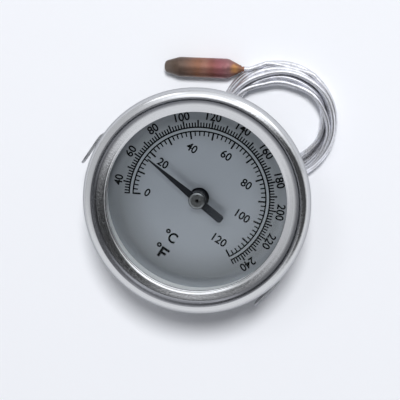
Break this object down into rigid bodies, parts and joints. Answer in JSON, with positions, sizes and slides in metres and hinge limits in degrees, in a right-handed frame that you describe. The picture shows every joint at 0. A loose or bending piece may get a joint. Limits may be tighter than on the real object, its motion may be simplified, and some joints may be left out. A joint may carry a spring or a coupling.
{
  "type": "capillary tube thermometer",
  "caption": "Round panel thermometer gauge with a coiled capillary tube and a remote copper sensing bulb.",
  "frame": {"origin": "on the table, under the gauge's axis, at the centre of the outlet socket's foot", "axes": "+Z along the gauge's axis out of the dial, +Y to the dial's 12 o'clock, +X to its 3 o'clock"},
  "size_m": [0.0616, 0.0724, 0.0298],
  "materials": {
    "bezel_steel": "polished",
    "window_glass": "clear",
    "gasket_rubber": "matte",
    "spacer_plastic": "satin",
    "dial_paint": "matte",
    "case_steel": "satin",
    "pointer_paint": "satin",
    "cap_metal": "satin",
    "turned_steel": "turned",
    "spiral_bronze": "satin",
    "brass": "turned",
    "zinc_steel": "satin",
    "spring_steel": "satin",
    "tinned_copper": "satin",
    "bulb_copper": "satin, heat-tinted"
  },
  "bodies": {
    "gauge": {"bezel": "bezel_steel", "glass": "window_glass", "glass_gasket": "gasket_rubber", "spacer_ring": "spacer_plastic", "dial": "dial_paint", "case_cup": "case_steel", "bourdon_spiral": "spiral_bronze", "anchor_block": "brass", "inner_capillary": "tinned_copper", "movement_plate": "zinc_steel", "pillars": "brass", "bridge": "zinc_steel", "upper_bush": "brass", "lower_bearing": "brass", "bridge_screws": "turned_steel", "back_screws": "zinc_steel", "outlet_socket": "brass", "socket_nut": "brass", "clip_left": "spring_steel", "clip_right": "spring_steel", "clip_rivets": "turned_steel", "capillary_lead": "tinned_copper", "capillary_coil": "tinned_copper", "bulb": "bulb_copper"},
    "pointer_set": {"pointer": "pointer_paint", "hub_cap": "cap_metal", "arbor": "turned_steel"}
  },
  "joints": [
    {"name": "pointer_turn", "type": "hinge", "parent": "gauge", "child": "pointer_set", "pos_m": [0, 0, 0.0246], "axis": [0, 0, -1], "range_deg": [-36.6, 203.4], "stiffness_Nm_per_rad": 0.00005}
  ]
}
